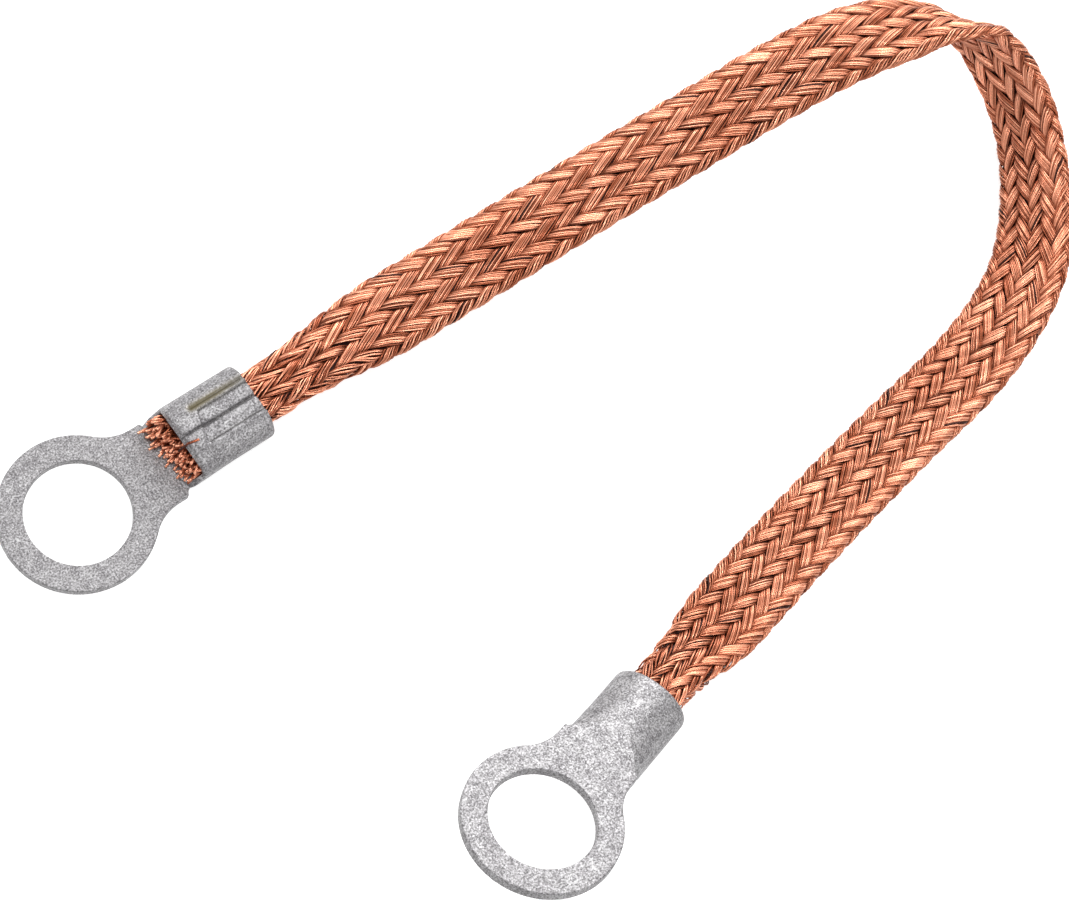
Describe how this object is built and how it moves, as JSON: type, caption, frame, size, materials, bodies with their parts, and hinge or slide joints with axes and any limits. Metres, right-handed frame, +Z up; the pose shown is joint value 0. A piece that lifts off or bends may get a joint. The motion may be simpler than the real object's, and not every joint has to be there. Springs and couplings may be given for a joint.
{
  "type": "flexible busbar braid",
  "caption": "Flat woven bare copper strap with a tinned ring terminal crimped on each end, for bonding and earthing between two studs.",
  "frame": {"origin": "middle of the footprint, on the surface that the strap lies on", "axes": "+Z up, +X from the ring of the first terminal along its barrel towards the loop of the strap"},
  "size_m": [0.1176, 0.0654, 0.0131],
  "materials": {
    "tinned_copper": "matte hot-dipped tin, mottled grey",
    "bare_copper": "bare bright copper wire"
  },
  "bodies": {
    "root": {"ring_terminal_1": "tinned_copper", "ring_terminal_2": "tinned_copper", "braid": "bare_copper"}
  },
  "joints": []
}
